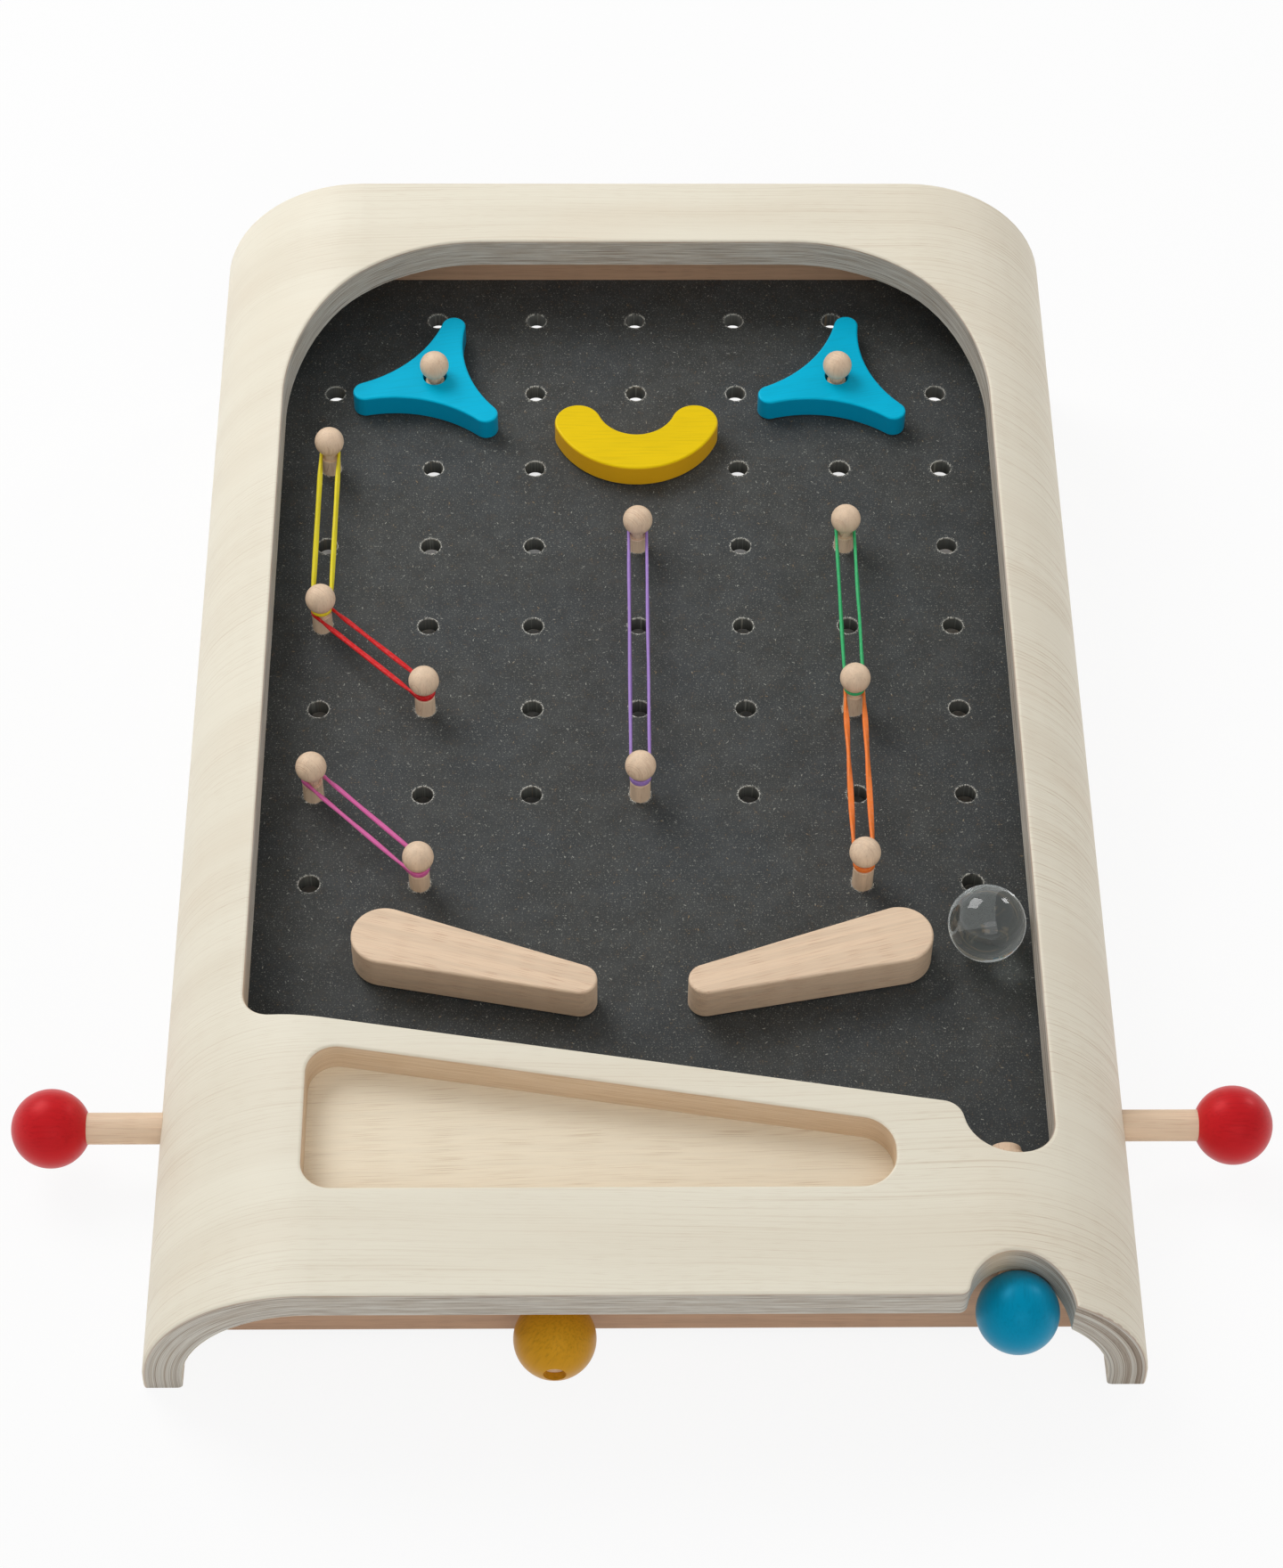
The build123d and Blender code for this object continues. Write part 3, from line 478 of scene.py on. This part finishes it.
def stain_finish(name, tone, shaded_side, axis, grain=0.4):
    """Satin stain on wood, with a faint grain showing through and painted shade on upright faces, given as
    a tone of their own.
    """
    made = new_finish(name)
    a, b, c = made.grain_place(axis)
    fibre = made.noise(made.combine(a * 0.07, b * 1.3, c * 1.3), 3.0, 0.6)
    cloud = made.noise(made.combine(a * 0.05, b * 0.08, c * 0.08), 2.0)
    facing = made.vector("DOT_PRODUCT", made.node("NewGeometry", output="Normal"), outward, output="Value")
    dark = [part * 0.62 for part in tone]
    sheen = [0.1 + 0.9 * part / max(tone) for part in tone]
    shade = made.smooth(fibre, 0.42, 0.75) * grain + made.smooth(cloud, 0.4, 0.75) * 0.1
    base = made.mix(shade, tone, dark)
    # Painted shade: faces that stand up from the board take the side colour, darker or warmer than the top.
    base = made.mix(made.smooth(facing, 0.75, 0.2) * 0.8, base, shaded_side)
    return made.surface(Base_Color=base, Roughness=0.3 + fibre * 0.12, Specular_IOR_Level=0.5,
                        Specular_Tint=sheen, Normal=made.bump(fibre, 0.2, 0.05))


def rubber_finish(name, tone):
    """Matt coloured rubber with a powdery bloom."""
    made = new_finish(name)
    x, y, z = made.place()
    bloom = made.noise(made.combine(x * 0.9, y * 0.9, z * 0.9), 3.0, 0.6)
    pale = [part + (1 - part) * 0.2 for part in tone]
    powder = made.smooth(bloom, 0.4, 0.75) * 0.3
    return made.surface(Base_Color=made.mix(powder, tone, pale), Roughness=0.5 + bloom * 0.2,
                        Specular_IOR_Level=0.35, Normal=made.bump(bloom, 0.15, 0.05))


def steel_finish(tone):
    """Bright zinc on steel."""
    made = new_finish("steel")
    x, y, z = made.place()
    dull = made.noise(made.combine(x * 0.6, y * 0.6, z * 0.6), 3.0)
    dark = [part * 0.6 for part in tone]
    return made.surface(Base_Color=made.mix(dull * 0.4, tone, dark), Metallic=1.0,
                        Roughness=0.25 + dull * 0.2)


def glass_finish(tint):
    """Clear glass with a faint tint and a trace of haze."""
    made = new_finish("glass")
    x, y, z = made.place()
    haze = made.noise(made.combine(x * 0.2, y * 0.2, z * 0.2), 2.0)
    clear = made.mix(haze * 0.3, tint, (1.0, 1.0, 1.0))
    return made.surface(Base_Color=clear, Roughness=0.0, IOR=1.5, Transmission_Weight=1.0)


def finished_mesh(name, build):
    """A smooth object from a mesh that is being built."""
    mesh = bpy.data.meshes.new(name)
    build.to_mesh(mesh)
    build.free()
    mesh.shade_smooth()
    piece = bpy.data.objects.new(name, mesh)
    bpy.context.scene.collection.objects.link(piece)
    return piece


def sweep_loop(name, rings, closed):
    """A mesh from rings of points in the board's frame, each joined to the next."""
    build = bmesh.new()
    made = [[build.verts.new(to_world @ point) for point in ring] for ring in rings]
    pairs = list(zip(made, made[1:] + made[:1])) if closed else list(zip(made, made[1:]))
    for first, second in pairs:
        for i in range(len(first)):
            j = (i + 1) % len(first)
            build.faces.new((first[i], first[j], second[j], second[i]))
    if not closed:
        build.faces.new(made[0][::-1])
        build.faces.new(made[-1])
    bmesh.ops.recalc_face_normals(build, faces=build.faces)
    return finished_mesh(name, build)


def soft_step(share):
    """A share that leaves nought and reaches one without a jerk."""
    return share * share * (3 - 2 * share)


def band_rings(first, second, thickness, tall, rolls):
    """Rings of a flat rubber band stretched round two necks; each strand lies over on its way.

    An end is its middle and the share of the band's height that it has there; a strand is how far it lies
    over and how far it wavers about that, in radians.
    """
    (start, start_share), (end, end_share) = first, second
    along = (end - start).normalized()
    side = along.cross(Vector((0, 0, 1))).normalized()
    up = side.cross(along)
    neck_gap = 0.06
    radius = neck_radius + neck_gap + thickness / 2
    strand_steps = 48
    round_steps = 24
    route = []
    for place, far, way, shares, (lie, waver) in ((start, end, 1, (start_share, end_share), rolls[0]),
                                                  (end, start, -1, (end_share, start_share), rolls[1])):
        out = side * way
        ahead = along * way
        for step in range(strand_steps):
            share = step / strand_steps
            free = soft_step(min(1, 5 * share, 5 * (1 - share)))
            near_end = shares[0] if share < 0.5 else shares[1]
            roll = free * (lie + waver * sin(4 * pi * share)) * way
            height = tall * (near_end + (1 - near_end) * free)
            route.append((place.lerp(far, share) + out * radius, ahead, out, roll, height))
        for step in range(round_steps):
            angle = pi * step / round_steps
            outside = out * cos(angle) + ahead * sin(angle)
            onward = ahead * cos(angle) - out * sin(angle)
            route.append((far + outside * radius, onward, outside, 0, tall * shares[1]))
    rings = []
    for middle, ahead, out, roll, height in route:
        turn = Matrix.Rotation(roll, 3, ahead)
        wide = turn @ out
        high = turn @ up
        rings.append([middle + wide * a + high * b for a, b in band_section(thickness, height)])
    return rings


def band_section(thickness, height):
    """The band's section: a rectangle with rounded corners."""
    bevel = 0.35 * thickness
    section = []
    for quarter, (sx, sy) in enumerate(((1, 1), (-1, 1), (-1, -1), (1, -1))):
        for step in range(4):
            angle = (quarter + step / 3) * pi / 2
            section.append(((thickness / 2 - bevel) * sx + bevel * cos(angle),
                            (height / 2 - bevel) * sy + bevel * sin(angle)))
    return section


def spring_rings(start, end, wire, radius, turns):
    """Rings of a coil spring with closed ends along a line of the board's frame."""
    axis = (end - start).normalized()
    across = axis.orthogonal().normalized()
    third = axis.cross(across)
    span = (end - start).length - wire
    closed = 0.9
    total = turns + 2 * closed
    steps = 26
    sides = 10
    rings = []
    count = int(total * steps)
    for step in range(count + 1):
        turn = total * step / count
        worked = min(max(turn - closed, 0), turns) / turns
        ends = min(turn, closed) + max(turn - closed - turns, 0)
        rise = wire / 2 + ends * wire * 0.5 + worked * (span - closed * wire)
        angle = 2 * pi * turn
        out = across * cos(angle) + third * sin(angle)
        middle = start + axis * rise + out * radius
        angles = [2 * pi * i / sides for i in range(sides)]
        rings.append([middle + (out * cos(a) + axis * sin(a)) * wire / 2 for a in angles])
    return rings


class PINBALL_OT_shell(bpy.types.Operator):
    """Veneer and cut plies on the bent sheet"""
    bl_idname = "pinball.shell"
    bl_label = "Bent plywood shell"

    def execute(self, context):
        dress(veneer_finish(context.scene.pinball_woods), "bent_plywood_shell")
        return {"FINISHED"}


class PINBALL_OT_board(bpy.types.Operator):
    """Dark flecked finish on the play board"""
    bl_idname = "pinball.board"
    bl_label = "Play board"

    def execute(self, context):
        dress(board_finish(context.scene.pinball_woods), "play_board")
        return {"FINISHED"}


class PINBALL_OT_strips(bpy.types.Operator):
    """Wood on the rail, the apron, the tray floor and the strips under the board"""
    bl_idname = "pinball.strips"
    bl_label = "Strips and tray floor"

    def execute(self, context):
        woods = context.scene.pinball_woods
        # The rail and the apron take a darker copy of the beech: painted shade.
        brown = timber_finish("brown_beech", woods.brown_beech, woods.glue_line, (1, 0, 0), fleck_share=0.4)
        pine = timber_finish("pine", woods.pine, woods.pine_fleck, (1, 0.03, 0), fleck_length=22,
                             shade=0.95, fineness=4.0)
        dress(brown, "back_rail", "front_apron")
        dress(pine, "tray_floor")
        dress(beech_finish("batten_beech", woods, (0, 1, 0)), "left_batten", "right_batten")
        return {"FINISHED"}


class PINBALL_OT_flippers(bpy.types.Operator):
    """Beech on the flippers, their shafts and cranks"""
    bl_idname = "pinball.flippers"
    bl_label = "Flippers"

    def execute(self, context):
        woods = context.scene.pinball_woods
        for side, way in (("left", 1), ("right", -1)):
            grain = (way * cos(flipper_rest), -sin(flipper_rest), 0)
            bat = beech_finish(f"{side}_flipper_beech", woods, grain)
            dress(bat, f"{side}_flipper", f"{side}_flipper_crank")
        dress(beech_finish("shaft_beech", woods, (0, 0, 1)), "left_flipper_shaft", "right_flipper_shaft")
        return {"FINISHED"}


class PINBALL_OT_pegs(bpy.types.Operator):
    """Beech on the ball-headed pegs"""
    bl_idname = "pinball.pegs"
    bl_label = "Pegs"

    def execute(self, context):
        woods = context.scene.pinball_woods
        pegs = [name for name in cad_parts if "_peg" in name]
        dress(beech_finish("peg_beech", woods, (0, 0.1, 1), fleck_share=0.4), *pegs, "crescent_pin")
        return {"FINISHED"}


class PINBALL_OT_bumpers(bpy.types.Operator):
    """Satin stain on the stars and the crescent"""
    bl_idname = "pinball.bumpers"
    bl_label = "Bumpers"

    def execute(self, context):
        paints = context.scene.pinball_paints
        # The stars and the crescent take painted shade on their upright sides.
        blue = stain_finish("blue_lacquer", paints.blue, paints.blue_shaded_side, (1, 0.2, 0), grain=0.25)
        yellow = stain_finish("yellow_lacquer", paints.yellow, paints.yellow_shaded_side, (1, 0, 0), grain=0.25)
        dress(blue, "left_star", "right_star")
        dress(yellow, "crescent_bumper")
        return {"FINISHED"}


class PINBALL_OT_knobs(bpy.types.Operator):
    """Stained balls on their dowels, with the plunger's collar and the pull rod's stop"""
    bl_idname = "pinball.knobs"
    bl_label = "Knobs and dowels"

    def execute(self, context):
        woods = context.scene.pinball_woods
        paints = context.scene.pinball_paints
        red = stain_finish("red_ball", paints.red, paints.red, (1, 0, 0))
        blue = stain_finish("blue_ball", paints.blue_ball, paints.blue_ball, (0, 1, 0))
        yellow = stain_finish("yellow_ball", paints.mustard, paints.mustard, (1, 0.4, 2), grain=0.7)
        dress(red, "left_push_knob", "right_push_knob")
        dress(blue, "plunger_knob")
        dress(yellow, "pull_knob")
        dress(beech_finish("push_beech", woods, (1, 0, 0)), "left_push_rod", "right_push_rod")
        dress(beech_finish("lane_beech", woods, (0, 1, 0)),
              "plunger_rod", "plunger_collar", "pull_rod", "pull_stop")
        return {"FINISHED"}


class PINBALL_OT_drive(bpy.types.Operator):
    """Beech blocks and steel pins and screws under the board"""
    bl_idname = "pinball.drive"
    bl_label = "Flipper drive"

    def execute(self, context):
        woods = context.scene.pinball_woods
        blocks = beech_finish("block_beech", woods, (1, 0, 0))
        metal = steel_finish(context.scene.pinball_paints.steel)
        for side in ("left", "right"):
            dress(blocks, f"{side}_drive_block", f"{side}_rod_guide")
            dress(metal, f"{side}_drive_pin")
        dress(metal, "batten_screws", "guide_screws")
        return {"FINISHED"}


class PINBALL_OT_marble(bpy.types.Operator):
    """A smooth glass ball in place of the marble"""
    bl_idname = "pinball.marble"
    bl_label = "Marble"

    def execute(self, context):
        radius = context.scene.pinball_sizes.marble_radius
        build = bmesh.new()
        bmesh.ops.create_uvsphere(build, u_segments=96, v_segments=64, radius=radius,
                                  matrix=Matrix.Translation(to_world @ marble_middle))
        piece = finished_mesh("marble_glass", build)
        piece.data.materials.append(glass_finish(context.scene.pinball_paints.glass))
        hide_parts("marble")
        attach(piece, "marble_ball")
        return {"FINISHED"}


class PINBALL_OT_bands(bpy.types.Operator):
    """Flat rubber bands stretched round the necks of the pegs in place of the plain loops"""
    bl_idname = "pinball.bands"
    bl_label = "Rubber bands"

    def execute(self, context):
        paints = context.scene.pinball_paints
        sizes = context.scene.pinball_sizes
        # Each peg's row from the back, its column from the middle, and how far it stands up from its hole
        pegs = {
            "left_back": (2, -3, -0.5), "left_upper": (4, -3, 0), "left_middle": (5, -2, 0.5),
            "left_lower": (6, -3, 0.6), "left_front": (7, -2, 0.2), "middle_back": (3, 0, -1),
            "middle_front": (6, 0, 1.1), "right_back": (3, 2, -0.5), "right_middle": (5, 2, 1.8),
            "right_front": (7, 2, 2.2),
        }
        # How far under a peg's head a band sits, and how much of its height it keeps; two may share a neck
        alone = (5.8, 1)
        above = (4.95, 0.62)
        below = (6.65, 0.62)
        runs = {
            "yellow": ("left_back", alone, "left_upper", above, ((0.7, 0.1), (0.6, -0.1))),
            "red": ("left_upper", below, "left_middle", alone, ((1.2, 0.1), (1.0, -0.2))),
            "pink": ("left_lower", alone, "left_front", alone, ((0.8, 0.15), (0.9, -0.1))),
            "purple": ("middle_back", alone, "middle_front", alone, ((0.2, 0.1), (0.1, 0.15))),
            "green": ("right_back", alone, "right_middle", above, ((0.3, 0.1), (0.2, 0.2))),
            "orange": ("right_middle", below, "right_front", alone, ((0.8, 0.5), (0.9, -0.4))),
        }
        for name, (first, first_seat, second, second_seat, rolls) in runs.items():
            ends = []
            for peg, (drop, share) in ((first, first_seat), (second, second_seat)):
                row, column, lift = pegs[peg]
                height = peg_head_height + lift - drop
                middle = Vector((column * grid_pitch, (back_row - row) * grid_pitch, height))
                ends.append((middle, share))
            rings = band_rings(*ends, sizes.band_thickness / metre, sizes.band_height / metre, rolls)
            piece = sweep_loop(f"{name}_rubber_band", rings, True)
            piece.data.materials.append(rubber_finish(f"{name}_rubber", getattr(paints, f"{name}_rubber")))
            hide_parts(f"{name}_band")
            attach(piece, "carcass")
        return {"FINISHED"}


class PINBALL_OT_springs(bpy.types.Operator):
    """Coil springs with closed ends"""
    bl_idname = "pinball.springs"
    bl_label = "Springs"

    def execute(self, context):
        sizes = context.scene.pinball_sizes
        metal = bpy.data.materials["steel"]
        # The fixed end of each spring and the end that moves, then its joint and travel
        left_ends = ((-56.164, -210, -14), (-83.836, -210, -14))
        right_ends = ((56.164, -210, -14), (83.836, -210, -14))
        lane_ends = ((lane_x, -265.7, 12.5), (lane_x, -243.3, 12.5))
        runs = {
            "left_return_spring": (left_ends, "left_push_slide", push_travel),
            "right_return_spring": (right_ends, "right_push_slide", push_travel),
            "plunger_spring": (lane_ends, "plunger_pull", plunger_travel),
        }
        for name, (ends, joint, travel) in runs.items():
            fixed, loose = (Vector(end) for end in ends)
            rings = spring_rings(fixed, loose, sizes.spring_wire / metre, sizes.spring_radius / metre,
                                 sizes.spring_turns)
            piece = sweep_loop(f"{name}_coil", rings, False)
            piece.data.materials.append(metal)
            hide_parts(name)
            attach(piece, "carcass")
            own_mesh(piece)
        return {"FINISHED"}


class PINBALL_OT_stage(bpy.types.Operator):
    """Pale floor, soft lamps and the camera"""
    bl_idname = "pinball.stage"
    bl_label = "Stage"

    def execute(self, context):
        settings = context.scene.pinball_stage
        context.scene.view_settings.view_transform = "Standard"
        self.make_floor(settings)
        self.make_world(settings)
        lamps = {
            "key": ((-1.04, 0.97, 1.66), 1.2, settings.key_level),
            "side": ((1.58, 1.33, 1.19), 0.55, settings.side_level),
            "fill": ((0.3, -2.0, 1.4), 1.6, settings.fill_level),
        }
        for name, (place, size, power) in lamps.items():
            self.make_lamp(name, Vector(place), size, power)
        self.make_camera(settings)
        return {"FINISHED"}

    def seen(self, made):
        """One where the camera, a reflection or a glass looks straight at the background."""
        camera, mirror, glass = (made.node("LightPath", output=f"Is {kind} Ray")
                                 for kind in ("Camera", "Glossy", "Transmission"))
        return made.math("MAXIMUM", made.math("MAXIMUM", camera, mirror), glass)

    def make_floor(self, settings):
        """White to the camera all round the game, and as dark as its shadow under it."""
        half = settings.floor_size / 2
        mesh = bpy.data.meshes.new("floor")
        corners = [(-half, -half, 0), (half, -half, 0), (half, half, 0), (-half, half, 0)]
        mesh.from_pydata(corners, [], [(0, 1, 2, 3)])
        floor = bpy.data.objects.new("floor", mesh)
        bpy.context.scene.collection.objects.link(floor)
        made = new_finish("pale_floor")
        x, y, _ = made.parts(made.node("TexCoord", output="Object"))
        beside = made.smooth(abs(x), 0.135, 0.152)
        before = made.smooth(abs(y), 0.13, 0.21)
        around = made.math("MAXIMUM", beside, before)
        lit = made.node("BsdfDiffuse", inputs={"Color": (0.86, 0.86, 0.86)})
        white = made.node("Emission", inputs={"Color": (1, 1, 1), "Strength": 1.0})
        share = self.seen(made) * around * settings.floor_glow
        made.output(made.node("MixShader", inputs={0: share, 1: lit, 2: white}))
        mesh.materials.append(made.owner)

    def make_world(self, settings):
        """A plain room: white walls round the foot, and softer light above."""
        world = bpy.data.worlds.new("soft_room")
        bpy.context.scene.world = world
        made = Finish(world)
        _, _, rise = made.parts(made.node("TexCoord", output="Generated"))
        wall, above = (made.node("Background", inputs={"Color": (1, 1, 1), "Strength": level})
                       for level in (1.0, settings.world_level))
        share = made.smooth(rise, 0.03, 0.3)
        made.output(made.node("MixShader", inputs={0: share, 1: wall, 2: above}), "OutputWorld")

    def make_lamp(self, name, place, size, power):
        """A square lamp that faces the middle of the floor."""
        lamp = bpy.data.lights.new(name, "AREA")
        lamp.shape = "SQUARE"
        lamp.size = size
        lamp.energy = power
        holder = bpy.data.objects.new(name, lamp)
        holder.location = place
        holder.rotation_euler = (-place).to_track_quat("-Z", "Y").to_euler()
        bpy.context.scene.collection.objects.link(holder)

    def make_camera(self, settings):
        """The photograph's view, set in the board's frame and turned with it."""
        rise = radians(53.237)
        yaw = radians(1.2388)
        roll = radians(0.8856)
        level_right = Vector((cos(yaw), -sin(yaw), 0))
        level_ahead = Vector((sin(yaw), cos(yaw), 0))
        up = Vector((0, 0, 1))
        level_down = -sin(rise) * level_ahead - cos(rise) * up
        ahead = cos(rise) * level_ahead - sin(rise) * up
        right = level_right * cos(roll) - level_down * sin(roll)
        down = level_right * sin(roll) + level_down * cos(roll)
        turn = Matrix.Rotation(slope, 3, "X") @ Matrix((right, -down, -ahead)).transposed()
        lens = bpy.data.cameras.new("camera")
        lens.sensor_fit = "AUTO"
        lens.sensor_width = 36
        lens.lens = settings.lens
        lens.clip_end = 50
        place = to_world @ Vector((-15.36, -818.39, 980.99))
        camera = bpy.data.objects.new("camera", lens)
        camera.matrix_world = Matrix.Translation(place) @ turn.to_4x4()
        bpy.context.scene.collection.objects.link(camera)
        bpy.context.scene.camera = camera


class PINBALL_PT_pieces(bpy.types.Panel):
    """The pieces of the game, in the order in which they are finished"""
    bl_label = "Pinball"
    bl_idname = "PINBALL_PT_pieces"
    bl_space_type = "VIEW_3D"
    bl_region_type = "UI"
    bl_category = "Pinball"

    def draw(self, context):
        for operator in operators:
            self.layout.operator(operator.bl_idname)
        for key in settings_groups:
            box = self.layout.box()
            group = getattr(context.scene, key)
            for name in group.__annotations__:
                box.prop(group, name)


operators = (PINBALL_OT_shell, PINBALL_OT_board, PINBALL_OT_strips, PINBALL_OT_flippers, PINBALL_OT_pegs,
             PINBALL_OT_bumpers, PINBALL_OT_knobs, PINBALL_OT_drive, PINBALL_OT_marble, PINBALL_OT_bands,
             PINBALL_OT_springs, PINBALL_OT_stage)
settings_groups = {
    "pinball_woods": WoodColours,
    "pinball_paints": PaintColours,
    "pinball_sizes": PieceSizes,
    "pinball_stage": StageSettings,
}


def register():
    for key, group in settings_groups.items():
        bpy.utils.register_class(group)
        setattr(bpy.types.Scene, key, PointerProperty(type=group))
    for operator in operators:
        bpy.utils.register_class(operator)
    bpy.utils.register_class(PINBALL_PT_pieces)


def unregister():
    bpy.utils.unregister_class(PINBALL_PT_pieces)
    for operator in reversed(operators):
        bpy.utils.unregister_class(operator)
    for key, group in reversed(settings_groups.items()):
        delattr(bpy.types.Scene, key)
        bpy.utils.unregister_class(group)


def main():
    register()
    bpy.ops.pinball.shell()
    bpy.ops.pinball.board()
    bpy.ops.pinball.strips()
    bpy.ops.pinball.flippers()
    bpy.ops.pinball.pegs()
    bpy.ops.pinball.bumpers()
    bpy.ops.pinball.knobs()
    bpy.ops.pinball.drive()
    bpy.ops.pinball.marble()
    bpy.ops.pinball.bands()
    bpy.ops.pinball.springs()
    bpy.ops.pinball.stage()
    bpy.context.view_layer.update()


if __name__ == "__main__":
    main()
